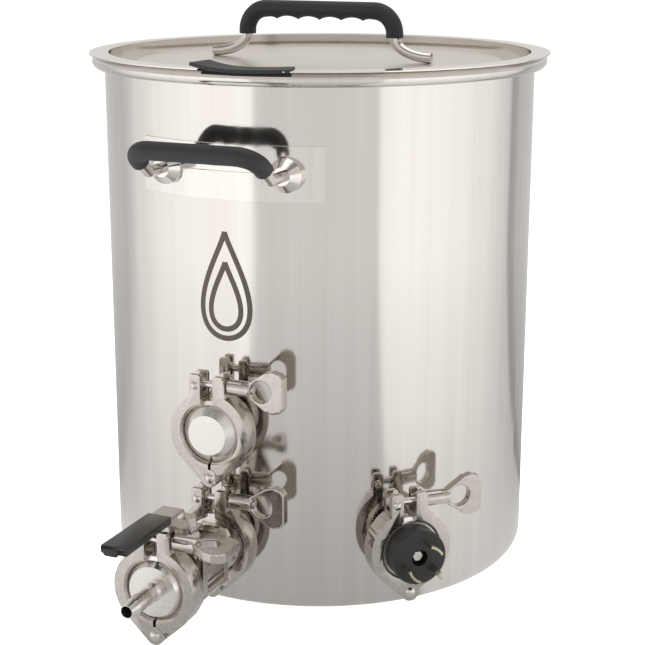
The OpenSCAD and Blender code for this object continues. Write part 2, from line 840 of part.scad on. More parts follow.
module fixed_half() {
    pin = [0, -hinge_y];
    difference() {
        plate(clamp_w) {
            intersection() {
                link([0, 0], ring_r, pin, tail_r);
                translate([-ring_r - 10, -60]) square([ring_r + 9, 120]);
            }
            translate(pin) circle(r = tail_r);
            translate([-pivot_x - ear_w / 2, lip_r]) square([ear_w, ear_y - lip_r - ear_round]);
            translate([-pivot_x - ear_w / 2 + ear_round, lip_r])
                square([ear_w - 2 * ear_round, ear_y - lip_r]);
            for (s = [-1, 1])
                translate([-pivot_x + s * (ear_w / 2 - ear_round), ear_y - ear_round])
                    circle(r = ear_round);
        }
        groove();
        ear_slot(-pivot_x - ear_w / 2 - 2, bolt_y - eye_boss_r - 0.5);
        translate([0, -hinge_y, 0]) {
            cylinder(r = tail_r + move_clear, h = tongue_w + move_clear, center = true);
            cylinder(d = hinge_d, h = clamp_w + 2, center = true);
        }
        translate([-pivot_x, bolt_y, 0]) cylinder(d = rivet_d, h = clamp_w + 2, center = true);
    }
}

module opening_half() {
    pin = [0, -hinge_y];
    split = 1 + move_clear;
    difference() {
        union() {
            plate(clamp_w) difference() {
                union() {
                    intersection() {
                        circle(r = ring_r);
                        translate([split, -60]) square([60, 120]);
                    }
                    fork_outline();
                }
                translate(pin) circle(r = tail_r + move_clear);
            }
            plate(tongue_w) intersection() {
                link(pin, tail_r - 0.2, [ring_r * 0.42, -ring_r * 0.62], 9);
                union() {
                    translate(pin) circle(r = tail_r);
                    translate([split, -60]) square([60, 60]);
                }
            }
        }
        groove();
        ear_slot(fork_x - 2, bolt_y - bolt_d / 2 - move_clear);
        translate([0, -hinge_y, 0])
            cylinder(r = hinge_d / 2 + run_fit, h = clamp_w + 2, center = true);
    }
}

// The fork ear: its outer face above the bolt follows the nut's swing.
module fork_outline() {
    translate([fork_x, lip_r]) square([ear_w, bolt_y - lip_r]);
    intersection() {
        translate([fork_x, bolt_y - 1]) square([ear_w, ear_top - 1]);
        swing_round();
    }
    intersection() {
        translate([fork_x + ear_round, bolt_y]) square([ear_w - 2 * ear_round, ear_top]);
        swing_round();
    }
    translate([fork_x + ear_round, ear_y - ear_round]) circle(r = ear_round);
}

module swing_round() {
    translate([-pivot_x, bolt_y]) circle(r = swing_r - nut_gap - 0.05);
}

module clamp_pins() {
    head(hinge_d, 0, -hinge_y);
    head(rivet_d, -pivot_x, bolt_y);
}

module head(d, x, y) {
    translate([x, y, 0]) {
        cylinder(d = d, h = clamp_w, center = true);
        for (s = [-1, 1]) scale_side(s) translate([0, 0, clamp_w / 2]) intersection() {
            translate([0, 0, -d * 0.42]) sphere(r = d * 0.82);
            cylinder(r = d, h = head_t + 2);
        }
    }
}

module swing_bolt() {
    difference() {
        union() {
            translate([-pivot_x, bolt_y, 0])
                cylinder(r = eye_boss_r, h = slot_w - 2 * move_clear, center = true);
            translate([-pivot_x, bolt_y, 0]) rotate([0, 90, 0])
                cylinder(d = bolt_d, h = bolt_end + pivot_x);
        }
        translate([-pivot_x, bolt_y, 0])
            cylinder(r = rivet_d / 2 + run_fit, h = clamp_w, center = true);
    }
}

module wing_outline() {
    half = wing_half;
    corner = 6.2;
    difference() {
        union() {
            polygon([[barrel_l - 4, -barrel_d / 2 + 0.6], [barrel_l, -barrel_d / 2 + 0.6],
                [nut_l - 15, -half + 1.2], [nut_l - 3, -half + 1.2], [nut_l, -half + 5],
                [nut_l, half - 5], [nut_l - 3, half - 1.2], [nut_l - 15, half - 1.2],
                [barrel_l, barrel_d / 2 - 0.6], [barrel_l - 4, barrel_d / 2 - 0.6]]);
            for (s = [-1, 1]) translate([nut_l - 9, s * (half - corner)]) circle(r = corner);
        }
        translate([eye_x, 0]) circle(d = eye_d);
    }
}

module wing_nut(turn) {
    translate([nut_x, bolt_y, 0]) rotate([turn, 0, 0]) difference() {
        union() {
            rotate([0, 90, 0]) cylinder(d = barrel_d, h = barrel_l + 2);
            plate(wing_t) wing_outline();
        }
        translate([eye_x, 0, 0]) cylinder(d = eye_d, h = barrel_d + 2, center = true);
        translate([-1, 0, 0]) rotate([0, 90, 0])
            cylinder(r = bolt_d / 2 + run_fit, h = eye_x);
    }
}

kettle_shell();
port_ferrules();
front_handle_plate();
front_handle_rod();
front_handle_grip();
rear_handle_plate();
rear_handle_rod();
rear_handle_grip();
lid_shell();
lid_handle_rod();
lid_handle_grip();
notch_plug();
flange_gaskets();
end_cap();
valve_inlet_end();
valve_middle_body();
valve_outlet_end();
valve_ball();
valve_seats();
valve_stem();
stem_packing_nut();
stem_nut();
valve_lever();
lever_sleeve();
body_bolts();
body_nuts();
barb_flange();
hose_barb();
element_flange();
heating_tube();
plug_insulator();
contact_blades();
plug_nut();
for (c = CLAMPS) on_port(c[1], c[2]) translate([0, 0, c[3]]) {
    color(steel) fixed_half();
    color(steel) opening_half();
    color(dark_steel) clamp_pins();
    color(dark_steel) swing_bolt();
    color(steel) wing_nut(c[4]);
}
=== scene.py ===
# Brew kettle: the looks. Each section is one piece or group of like pieces, in the order in
# which the kettle is put together; sizes are metres unless a name says mm.
import math

import bpy
from mathutils import Matrix, Vector


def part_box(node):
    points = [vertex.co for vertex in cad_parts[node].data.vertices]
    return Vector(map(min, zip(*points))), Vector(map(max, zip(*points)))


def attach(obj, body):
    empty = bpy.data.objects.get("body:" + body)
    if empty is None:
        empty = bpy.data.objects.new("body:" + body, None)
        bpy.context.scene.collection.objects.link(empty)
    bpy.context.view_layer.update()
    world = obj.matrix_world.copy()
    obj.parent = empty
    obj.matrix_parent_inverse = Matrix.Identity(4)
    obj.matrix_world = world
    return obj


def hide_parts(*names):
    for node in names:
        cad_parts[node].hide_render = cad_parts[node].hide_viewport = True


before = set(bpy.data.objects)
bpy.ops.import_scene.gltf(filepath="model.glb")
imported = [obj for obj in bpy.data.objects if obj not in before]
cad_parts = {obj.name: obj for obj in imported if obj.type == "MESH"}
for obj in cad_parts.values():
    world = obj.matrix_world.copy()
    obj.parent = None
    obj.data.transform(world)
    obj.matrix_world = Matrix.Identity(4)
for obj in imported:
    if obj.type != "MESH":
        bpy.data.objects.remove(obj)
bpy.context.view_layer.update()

# ---- Pot ----
# The pot is deep-drawn 304 stainless sheet, polished on the outside until it mirrors, with soft
# upright draw streaks left in it. Three ferrules are welded into its wall.


def hex_colour(code):
    """A shader colour from an sRGB hex value."""
    parts = [int(code[i:i + 2], 16) / 255 for i in (1, 3, 5)]
    return [c / 12.92 if c <= 0.04045 else ((c + 0.055) / 1.055) ** 2.4 for c in parts] + [1.0]


def add(tree, kind, inputs=None, **settings):
    """Adds a node, sets its properties, and sets or links its inputs."""
    made = tree.nodes.new(kind)
    for name, value in settings.items():
        setattr(made, name, value)
    for socket, value in (inputs or {}).items():
        if isinstance(value, bpy.types.NodeSocket):
            tree.links.new(value, made.inputs[socket])
        else:
            made.inputs[socket].default_value = value
    return made


def finish(name, shades, roughness, grain_mm, relief_mm, metallic=1.0, detail=4.0):
    """A material whose colour, gloss and relief follow one grain of a real size along x, y, z."""
    made = bpy.data.materials.new(name)
    made.use_nodes = True
    tree = made.node_tree
    shader = tree.nodes["Principled BSDF"]
    shader.inputs["Metallic"].default_value = metallic
    place = add(tree, "ShaderNodeTexCoord")
    sized = add(tree, "ShaderNodeMapping", {"Vector": place.outputs["Object"],
                                            "Scale": [1000 / mm for mm in grain_mm]})
    grain = add(tree, "ShaderNodeTexNoise", {"Vector": sized.outputs["Vector"], "Scale": 1.0,
                                             "Detail": detail, "Roughness": 0.6})
    tint = add(tree, "ShaderNodeMix", {0: grain.outputs["Fac"], 6: hex_colour(shades[0]),
                                       7: hex_colour(shades[1])}, data_type="RGBA")
    gloss = add(tree, "ShaderNodeMapRange", {"Value": grain.outputs["Fac"], "From Min": 0.3,
                                             "From Max": 0.7, "To Min": roughness[0],
                                             "To Max": roughness[1]})
    bump = add(tree, "ShaderNodeBump", {"Height": grain.outputs["Fac"], "Strength": 1.0,
                                        "Distance": relief_mm / 1000})
    tree.links.new(tint.outputs[2], shader.inputs["Base Color"])
    tree.links.new(gloss.outputs["Result"], shader.inputs["Roughness"])
    tree.links.new(bump.outputs["Normal"], shader.inputs["Normal"])
    return made


def dress(material, *nodes):
    """Gives the CAD nodes a material."""
    for name in nodes:
        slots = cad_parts[name].data.materials
        slots.clear()
        slots.append(material)


# Mirror-polished stainless sheet: a warm pale grey metal. The streaks are 14 mm wide and run the
# height of the wall; the eye sees them as faint lighter and darker bands in the reflection.
polished_sheet = finish("polished_stainless_sheet", ("#c9c3bd", "#dcd8d3"), (0.05, 0.13),
                        (14, 14, 900), 0.004)
dress(polished_sheet, "kettle_shell", "port_ferrules")

# ---- Side handles ----
# Each side handle is a bent 8.6 mm bar through two domed cups on an embossed backing plate, with a
# moulded silicone grip that has four finger hollows on its inside.
# Each hollow is GRIP_HOLLOW long, with GRIP_HOLLOWS of them on each side of the middle.
GRIP_HOLLOW = 0.0195
GRIP_HOLLOWS = 2
GRIP_RIDGE = 0.0013
GRIP_EDGE = 0.0012

# Drawn bar, polished after bending: a bright line along it, broken a little by its fine grain.
polished_bar = finish("polished_stainless_bar", ("#cdc8c2", "#e0dcd7"), (0.09, 0.17),
                      (1.5, 1.5, 1.5), 0.002)
dress(polished_bar, "front_handle_rod", "rear_handle_rod")
# Pressed plate, polished after pressing: nearly the wall's own mirror, a little lighter.
plate_steel = finish("polished_backing_plate", ("#d0cbc5", "#e3dfda"), (0.07, 0.14),
                     (9, 9, 120), 0.003)
dress(plate_steel, "front_handle_plate", "rear_handle_plate")

# Matt black silicone: moulded, with a fine even texture that spreads the highlight.
silicone = finish("matt_black_silicone", ("#1b1c1e", "#27282b"), (0.5, 0.62), (0.5, 0.5, 0.5),
                  0.02, metallic=0.0)


def only(piece):
    """Makes one object the selected and active one."""
    bpy.ops.object.select_all(action="DESELECT")
    piece.select_set(True)
    bpy.context.view_layer.objects.active = piece


def swept(name, points, radius, sides=32):
    """A bar drawn along points: a curve with a round bevel, turned into a mesh."""
    curve = bpy.data.curves.new(name, "CURVE")
    curve.dimensions = "3D"
    curve.bevel_depth = radius
    curve.bevel_resolution = sides // 2 - 2
    curve.use_fill_caps = True
    spline = curve.splines.new("POLY")
    spline.points.add(len(points) - 1)
    for point, place in zip(spline.points, points):
        point.co = (*place, 1.0)
    made = bpy.data.objects.new(name, curve)
    bpy.context.collection.objects.link(made)
    only(made)
    bpy.ops.object.convert(target="MESH")
    made = bpy.context.object
    bpy.ops.object.mode_set(mode="EDIT")
    bpy.ops.mesh.select_all(action="SELECT")
    bpy.ops.mesh.remove_doubles(threshold=0.00002)
    bpy.ops.mesh.normals_make_consistent(inside=False)
    bpy.ops.object.mode_set(mode="OBJECT")
    return made


def rounded(piece, width, segments=3, angle=40):
    """Rounds the sharp edges of a piece and smooths its shading."""
    only(piece)
    bevel = piece.modifiers.new("round", "BEVEL")
    bevel.width = width
    bevel.segments = segments
    bevel.limit_method = "ANGLE"
    bevel.angle_limit = math.radians(angle)
    bpy.ops.object.modifier_apply(modifier=bevel.name)
    bpy.ops.object.shade_smooth_by_angle(angle=math.radians(35))
    return piece


def u_bend(half, corner, rise, low):
    """Points along an upside-down U in the x-z plane: legs at +-half, top at z = rise."""
    points = [(-half, 0, low)]
    turns = 16
    for side in (-1, 1):
        middle = (side * (half - corner), rise - corner)
        for i in range(turns + 1):
            a = math.pi / 2 * i / turns
            a = math.pi - a if side < 0 else math.pi / 2 - a
            points.append((middle[0] + corner * math.cos(a), 0, middle[1] + corner * math.sin(a)))
        if side < 0:
            top = half - corner
            count = int(2 * top / 0.0016)
            points += [(-top + 2 * top * i / count, 0, rise) for i in range(1, count)]
    return points + [(half, 0, low)]


def moulded_grip(name, half, corner, rise, low, radius, turn):
    """A silicone grip over a bent bar, its underside pressed into finger hollows."""
    grip = swept(name, u_bend(half, corner, rise, low), radius)
    edge = GRIP_HOLLOW * GRIP_HOLLOWS
    for vertex in grip.data.vertices:
        x, y, z = vertex.co
        if abs(x) > edge + GRIP_HOLLOW / 2 or z < rise - radius * 1.2:
            continue
        under = max(0.0, (rise - z) / radius)
        fade = 1.0 if abs(x) < edge else max(0.0, 1 - (abs(x) - edge) / GRIP_HOLLOW * 2)
        wave = abs(math.sin(math.pi * x / GRIP_HOLLOW)) ** 0.7
        vertex.co.z += under ** 2 * fade * GRIP_RIDGE * (2 * wave - 1)
    rounded(grip, GRIP_EDGE)
    grip.data.transform(turn)
    grip.data.materials.append(silicone)
    return grip


# The bail rises 20 mm over a reach of 26 mm from the ends of its straight feet.
bail_rise, bail_reach, foot_reach = 0.020, 0.026, 0.022
bail_length = math.hypot(bail_rise, bail_reach)
bail_slope = math.atan2(bail_rise, bail_reach)
wall_r, plate_t = 0.1778, 0.0012
grip_r, grip_half, grip_corner, grip_leg = 0.0071, 0.050, 0.015, 0.018
foot_z = (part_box("front_handle_plate")[0].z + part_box("front_handle_plate")[1].z) / 2
bail_frame = (Matrix.Translation((0, -(wall_r + plate_t + foot_reach), foot_z))
              @ Matrix.Rotation(math.pi / 2 - bail_slope, 4, "X"))
for name, turn in (("front", 0.0), ("rear", math.pi)):
    grip = moulded_grip(f"{name}_silicone_grip", grip_half, grip_corner, bail_length,
                        bail_length - grip_leg, grip_r,
                        Matrix.Rotation(turn, 4, "Z") @ bail_frame)
    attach(grip, "kettle")
    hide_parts(f"{name}_handle_grip")

# ---- Etched mark ----
# A plain drop in a double outline, etched dull grey into the polish above the capped port. It is
# a hair proud here, so that it shows as a dark satin line.
MARK_HEIGHT = 0.262
MARK_LINE = 0.0021
MARK_SIZES = (0.046, 0.029)
INNER_LOWER = 0.008
MARK_PROUD = 0.00003
MARK_FLATNESS = 0.03
DROP_WIDTH, DROP_HEIGHT = 0.62, 0.9
DROP_STEPS = 72

# Acid-etched: the bite leaves an even, dull grey that holds no reflection.
etched = finish("etched_dull_stainless", ("#5d5751", "#6d6760"), (0.42, 0.55), (0.8, 0.8, 0.8),
                0.004)


def drop_outline(size, centre):
    """Points round a drop: a circle's sweep pulled up to a point."""
    points = []
    for i in range(DROP_STEPS + 1):
        t = math.tau * i / DROP_STEPS
        x = size * DROP_WIDTH * math.sin(t) * math.sin(t / 2) ** 1.5
        points.append((x, 0, centre + size * math.cos(t) * DROP_HEIGHT))
    return points


for number, size in enumerate(MARK_SIZES):
    line = swept(f"etched_drop_{number}", drop_outline(size, MARK_HEIGHT - number * INNER_LOWER),
                 MARK_LINE, sides=12)
    for vertex in line.data.vertices:
        x, y, z = vertex.co
        out = wall_r + MARK_PROUD - y * MARK_FLATNESS
        vertex.co = (out * math.sin(x / wall_r), -out * math.cos(x / wall_r), z)
    only(line)
    bpy.ops.object.shade_smooth()
    line.data.materials.append(etched)
    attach(line, "kettle")

# ---- Lid ----
# The lid is pressed from 1 mm stainless: a polished flange and recess, and a raised centre with a
# satin, circularly brushed face. Its bar handle carries the same moulded grip.
SATIN_EDGE = 0.151
SATIN_ROUGHNESS, POLISHED_ROUGHNESS = 0.3, 0.1
LID_BAR_CORNER = 0.018
FOOT_STEPS = 24

# Pressed sheet: the brushed middle spreads its highlight, the flange and recess mirror the room.
lid_steel = finish("pressed_lid_stainless", ("#d2ccc5", "#e2ddd7"), (0.12, 0.2), (60, 60, 8),
                   0.003)
lid_tree = lid_steel.node_tree
lid_place = add(lid_tree, "ShaderNodeTexCoord")
from_middle = add(lid_tree, "ShaderNodeVectorMath", {0: lid_place.outputs["Object"],
                                                     1: (1, 1, 0)}, operation="MULTIPLY")
reach = add(lid_tree, "ShaderNodeVectorMath", {0: from_middle.outputs[0]}, operation="LENGTH")
satin = add(lid_tree, "ShaderNodeMapRange", {"Value": reach.outputs["Value"],
                                             "From Min": SATIN_EDGE,
                                             "From Max": SATIN_EDGE + 0.001,
                                             "To Min": SATIN_ROUGHNESS,
                                             "To Max": POLISHED_ROUGHNESS})
lid_tree.links.new(satin.outputs["Result"],
                   lid_tree.nodes["Principled BSDF"].inputs["Roughness"])
dress(lid_steel, "lid_shell")

low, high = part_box("lid_handle_grip")
lid_grip_r = (high.y - low.y) / 2
rod_low, rod_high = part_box("lid_handle_rod")
rod_r = (rod_high.y - rod_low.y) / 2
leg_x, foot_x = high.x - lid_grip_r, rod_high.x

# Each foot is a quarter ellipse, from flat on the lid out at foot_x to upright at sweep_z.
sweep_z, foot_mid = 0.437, rod_low.z + rod_r
foot_curve = []
for i in range(FOOT_STEPS + 1):
    t = math.pi / 2 * i / FOOT_STEPS
    foot_curve.append((-foot_x + (foot_x - leg_x) * math.sin(t), 0,
                       sweep_z - (sweep_z - foot_mid) * math.cos(t)))
lid_bar = swept("lid_bar_handle", foot_curve[:-1]
                + u_bend(leg_x, LID_BAR_CORNER, high.z - lid_grip_r, sweep_z)
                + [(-x, y, z) for x, y, z in reversed(foot_curve[:-1])], rod_r, sides=40)
rounded(lid_bar, 0.001)
lid_bar.data.materials.append(polished_bar)
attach(lid_bar, "lid")
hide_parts("lid_handle_rod")
grip = moulded_grip("lid_silicone_grip", leg_x, LID_BAR_CORNER, high.z - lid_grip_r, low.z,
                    lid_grip_r, Matrix.Identity(4))
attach(grip, "lid")
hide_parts("lid_handle_grip")

# ---- Notch plug ----
# Soft silicone plug in the lid's hose notch. Its flap is wider than the notch and its ends have
# sprung up a little, the one on the left more.
LID_FLANGE = 0.0146
PLUG_HALF_WIDTH, PLUG_THICK, PLUG_CLEAR = 0.0306, 0.0086, 0.0002
NECK_LAP, NECK_SHORT, NECK_T = 0.0005, 0.0006, 0.001
FLAP_LAP, FLAP_SPREAD, FLAP_EDGE = 0.012, 1.2, 0.0007
LEFT_SPRING, RIGHT_SPRING = 0.0042, 0.0008


def sector_slab(name, inner, outer, top, thick, half_angle, curl):
    """A slab that follows the rim, thick downwards from top, its ends lifted by curl(u).

    u runs from -1 to 1 along the slab, whose faces point down before it is given a thickness.
    """
    bpy.ops.object.select_all(action="DESELECT")
    bpy.ops.mesh.primitive_grid_add(x_subdivisions=40, y_subdivisions=5, size=2)
    slab = bpy.context.object
    slab.name = name
    for vertex in slab.data.vertices:
        u, v, _ = vertex.co
        radius = inner + (outer - inner) * (v + 1) / 2
        a = math.radians(notch_turn + half_angle * u)
        vertex.co = (radius * math.sin(a), -radius * math.cos(a), top + curl(u))
    solid = slab.modifiers.new("thickness", "SOLIDIFY")
    solid.thickness = thick
    solid.offset = 1
    bpy.ops.object.modifier_apply(modifier=solid.name)
    bpy.ops.object.mode_set(mode="EDIT")
    bpy.ops.mesh.select_all(action="SELECT")
    bpy.ops.mesh.normals_make_consistent(inside=False)
    bpy.ops.object.mode_set(mode="OBJECT")
    return slab


def sprung(u):
    """How far the flap has lifted, from its left end to its right."""
    return LEFT_SPRING * max(0.0, -u) ** 2.2 + RIGHT_SPRING * max(0.0, u) ** 2


low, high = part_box("notch_plug")
lid_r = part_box("lid_shell")[1].x
flap_t = 0.0026
flap_z = high.z - flap_t
notch_turn = math.degrees(math.atan2((low.x + high.x) / 2, -low.y))
plug_half = math.degrees(PLUG_HALF_WIDTH / wall_r)
recess_r = lid_r - LID_FLANGE

# Known fault: the body's top is at the plug's lowest point, so it hangs 8 mm clear of the flap, and
# the flap lies one thickness lower than the plug's top. Rounding the 1 mm neck leaves stray faces.
body = sector_slab("notch_plug_body", recess_r - PLUG_THICK, recess_r - PLUG_CLEAR, low.z,
                   flap_z - low.z, plug_half, lambda u: 0)
neck = sector_slab("notch_plug_neck", recess_r - NECK_LAP, lid_r - NECK_SHORT, flap_z - NECK_T,
                   NECK_T, plug_half, lambda u: 0)
flap = sector_slab("notch_plug_flap", recess_r - FLAP_LAP, lid_r, flap_z, flap_t,
                   plug_half * FLAP_SPREAD, sprung)
only(flap)
body.select_set(True)
neck.select_set(True)
bpy.ops.object.join()
rounded(flap, FLAP_EDGE)
flap.data.materials.append(silicone)
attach(flap, "notch_plug")
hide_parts("notch_plug")

# ---- Seals and cap ----
# A white silicone ring gasket lies between each pair of flanges. The cap is a blind flange with a
# chamfered disc, turned from stainless bar; its clamp holds it on.
# The silicone's matt, slightly cool white shows only as a thin line inside the clamps.
seal = finish("white_silicone_gasket", ("#dedcd4", "#ebe9e2"), (0.4, 0.5), (0.6, 0.6, 0.6), 0.01,
              metallic=0.0)
dress(seal, "flange_gaskets")
# Turned and then wiped with a fine pad: a pale face that blurs what it mirrors.
turned_steel = finish("turned_stainless", ("#d3cec8", "#e6e2dd"), (0.2, 0.3), (2.5, 2.5, 2.5),
                      0.002)
dress(turned_steel, "end_cap", "barb_flange", "hose_barb", "element_flange")

# ---- Ball valve ----
# A three-piece valve in cast stainless: two clamp-end spools and a middle body, held together by
# four bolts with nuts. A cranked strip lever with a dipped vinyl sleeve turns its ball.
SLEEVE_TAPER = 0.92
SLEEVE_END = 0.0056
SLEEVE_EDGE = 0.0015
UPRIGHT = 0.003

# Cast and tumbled: bright, but its 3 mm unevenness breaks every reflection up.
cast_steel = finish("tumbled_cast_stainless", ("#aaa39b", "#cfc9c2"), (0.12, 0.22), (3, 3, 3),
                    0.01)
dress(cast_steel, "valve_inlet_end", "valve_outlet_end", "valve_middle_body")
# Machined fastener steel: crisp highlights with a fine tool grain.
machined_steel = finish("machined_fastener_stainless", ("#c4beb7", "#dcd7d1"), (0.14, 0.24),
                        (1.2, 1.2, 1.2), 0.004)
dress(machined_steel, "body_bolts", "body_nuts", "stem_nut", "stem_packing_nut", "valve_stem",
      "valve_ball")
dress(plate_steel, "valve_lever")
# Turned PTFE: waxy white.
ptfe = finish("turned_ptfe", ("#e6e5e0", "#f2f1ec"), (0.35, 0.45), (2, 2, 2), 0.004,
              metallic=0.0)
dress(ptfe, "valve_seats")
# Dipped vinyl: glossier than the silicone grips, with a soft, slightly wavy sheen.
vinyl = finish("dipped_black_vinyl", ("#0c0c0d", "#141415"), (0.16, 0.24), (6, 6, 6), 0.01,
               metallic=0.0)

# The sleeve is dipped, so it is thick-skinned, round at its end and soft along its edges.
low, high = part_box("lever_sleeve")
bpy.ops.object.select_all(action="DESELECT")
bpy.ops.mesh.primitive_cube_add(size=1, location=(low + high) / 2, scale=high - low)
sleeve = bpy.context.object
sleeve.name = "lever_vinyl_sleeve"
bpy.ops.object.transform_apply(location=True, rotation=False, scale=True)
for vertex in sleeve.data.vertices:
    if vertex.co.y > (low.y + high.y) / 2:
        vertex.co.x *= SLEEVE_TAPER
bpy.ops.object.mode_set(mode="EDIT")
bpy.ops.mesh.select_all(action="DESELECT")
bpy.ops.object.mode_set(mode="OBJECT")
for edge in sleeve.data.edges:
    a, b = (sleeve.data.vertices[i].co for i in edge.vertices)
    edge.select = abs(a.z - b.z) > UPRIGHT and a.y < (low.y + high.y) / 2
bpy.ops.object.mode_set(mode="EDIT")
bpy.ops.mesh.select_mode(type="EDGE")
bpy.ops.mesh.bevel(offset=SLEEVE_END, segments=8)
bpy.ops.object.mode_set(mode="OBJECT")
rounded(sleeve, SLEEVE_EDGE, segments=4, angle=50)
sleeve.data.materials.append(vinyl)
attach(sleeve, "valve_lever")
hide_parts("lever_sleeve")

# ---- Heating element ----
# An immersion element: a folded, drawn stainless tube inside the pot, on a clamp flange whose cup
# holds a moulded nylon plug with three plated brass blades. One nut through its middle holds it.
# Drawn tube, tinted by heat: a darker, duller grey than the rest of the steel.
heater_steel = finish("drawn_heater_tube", ("#8d8984", "#a29e98"), (0.2, 0.3), (3, 3, 3), 0.004)
dress(heater_steel, "heating_tube")
# Moulded nylon: black with a low, even sheen.
nylon = finish("black_nylon", ("#161617", "#202021"), (0.34, 0.46), (0.7, 0.7, 0.7), 0.015,
               metallic=0.0)
dress(nylon, "plug_insulator")
# Plated brass: a pale, faintly yellow metal.
plated_brass = finish("plated_brass_blades", ("#b9ad93", "#d3cab4"), (0.16, 0.28), (2, 2, 2),
                      0.006)
dress(plated_brass, "contact_blades")
dress(machined_steel, "plug_nut")

# ---- Clamps ----
# Hinged two-piece clamps, investment cast in stainless and tumbled, each drawn shut by a wing nut
# on an eye bolt. Casting leaves their edges rounded by most of a millimetre.


def casting(node, body):
    """A merged copy of a CAD piece, to be given the soft edges of a casting."""
    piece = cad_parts[node].copy()
    piece.data = piece.data.copy()
    piece.name = f"{node}_casting"
    bpy.context.collection.objects.link(piece)
    only(piece)
    bpy.ops.mesh.customdata_custom_splitnormals_clear()
    bpy.ops.object.mode_set(mode="EDIT")
    bpy.ops.mesh.select_all(action="SELECT")
    bpy.ops.mesh.remove_doubles(threshold=0.00001)
    bpy.ops.object.mode_set(mode="OBJECT")
    piece.data.materials.clear()
    piece.data.materials.append(cast_steel)
    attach(piece, body)
    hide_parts(node)
    return piece


# The halves stop at the ears' inner faces, 6.6 mm left and 4 mm right of the port, so the flange's
# rim shows between them. BOLT_RISE and GAP_MIDDLE are heights over the port's middle. The element
# port stands ELEMENT_TURN to the right of the valve.
GAP_LEFT, GAP_RIGHT = -0.0066, 0.004
GAP_MIDDLE, GAP_HEIGHT = 0.0245, 0.019
CUT_Y, CUT_LENGTH = -0.29, 0.24
BOLT_RISE = 0.0373
ELEMENT_TURN = math.radians(43.3)
CASTING_EDGE = 0.0007
CASTING_VOXEL = 0.0005


def open_top(half, clamp):
    """Cuts a clamp half back from the gap over the flange."""
    low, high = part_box(f"{clamp}_clamp_swing_bolt")
    bolt_z = (low.z + high.z) / 2
    middle = ((GAP_LEFT + GAP_RIGHT) / 2, CUT_Y, bolt_z - BOLT_RISE + GAP_MIDDLE)
    bpy.ops.mesh.primitive_cube_add(size=1, location=middle,
                                    scale=(GAP_RIGHT - GAP_LEFT, CUT_LENGTH, GAP_HEIGHT))
    cutter = bpy.context.object
    bpy.ops.object.transform_apply()
    if clamp == "element":
        cutter.data.transform(Matrix.Rotation(ELEMENT_TURN, 4, "Z"))
    only(half)
    cut = half.modifiers.new("gap", "BOOLEAN")
    cut.operation = "DIFFERENCE"
    cut.solver = "EXACT"
    cut.object = cutter
    bpy.ops.object.modifier_apply(modifier=cut.name)
    bpy.data.objects.remove(cutter)


for clamp in ("cap", "drain", "outlet", "element"):
    dress(machined_steel, f"{clamp}_clamp_pins", f"{clamp}_clamp_swing_bolt")
    for part, body in (("fixed_half", "kettle"), ("opening_half", f"{clamp}_clamp_opening_half")):
        half = casting(f"{clamp}_clamp_{part}", body)
        open_top(half, clamp)
        bpy.ops.object.mode_set(mode="EDIT")
        bpy.ops.mesh.select_all(action="SELECT")
        bpy.ops.mesh.dissolve_limited(angle_limit=math.radians(1))
        bpy.ops.object.mode_set(mode="OBJECT")
        rounded(half, CASTING_EDGE)
    nut = casting(f"{clamp}_clamp_wing_nut", f"{clamp}_clamp_wing_nut")
    remesh = nut.modifiers.new("cast", "REMESH")
    remesh.mode = "VOXEL"
    remesh.voxel_size = CASTING_VOXEL
    bpy.ops.object.modifier_apply(modifier=remesh.name)
    soften = nut.modifiers.new("soften", "SMOOTH")
    soften.factor = 0.6
    soften.iterations = 9
    bpy.ops.object.modifier_apply(modifier=soften.name)
    bpy.ops.object.shade_smooth()

# ---- Studio ----
# A pale floor, a camera at standing height to the right of the valve, soft panels and a light
# tent around. Bearings are in degrees; the camera stands CAMERA_BEARING to the right of the valve.
CAMERA_BEARING = 23.7
PANEL_DISTANCE, PANEL_HEIGHT = 1.6, 0.8
camera_data = bpy.data.cameras.new("camera")
camera_data.lens = 85.23
camera_data.sensor_width = 36
camera_data.shift_x = 0.0043
camera = bpy.data.objects.new("camera", camera_data)
camera.location = (0.5173, -1.1785, 0.5309)
camera.rotation_euler = (math.radians(75.16), 0, math.radians(CAMERA_BEARING))
bpy.context.collection.objects.link(camera)
bpy.context.scene.camera = camera
bpy.context.scene.view_settings.view_transform = "Standard"

bpy.ops.object.select_all(action="DESELECT")
bpy.ops.mesh.primitive_plane_add(size=60)
floor = bpy.context.object
floor.name = "floor"
# Matt white paper, lit enough to burn out.
paper = finish("pale_paper_floor", ("#f4f3f1", "#f8f7f6"), (0.7, 0.8), (40, 40, 40), 0.01,
               metallic=0.0)
paper_shader = paper.node_tree.nodes["Principled BSDF"]
paper_shader.inputs["Emission Color"].default_value = hex_colour("#ffffff")
paper_shader.inputs["Emission Strength"].default_value = 0.8
floor.data.materials.append(paper)


def stood(made, bearing, distance, height):
    """Stands a light round the kettle, facing it; bearing runs right from the camera."""
    a = math.radians(bearing + CAMERA_BEARING)
    made.location = (distance * math.sin(a), -distance * math.cos(a), height)
    aim = Vector((0, 0, height)) - made.location
    made.rotation_euler = aim.to_track_quat("-Z", "Y").to_euler()
    made.visible_camera = False
    made.visible_glossy = False


def soft_panel(name, width, tall, radiance):
    """A rectangular area light of an even radiance."""
    light = bpy.data.lights.new(name, "AREA")
    light.shape = "RECTANGLE"
    light.size = width
    light.size_y = tall
    light.energy = radiance * math.pi * width * tall
    made = bpy.data.objects.new(name, light)
    bpy.context.collection.objects.link(made)
    return made


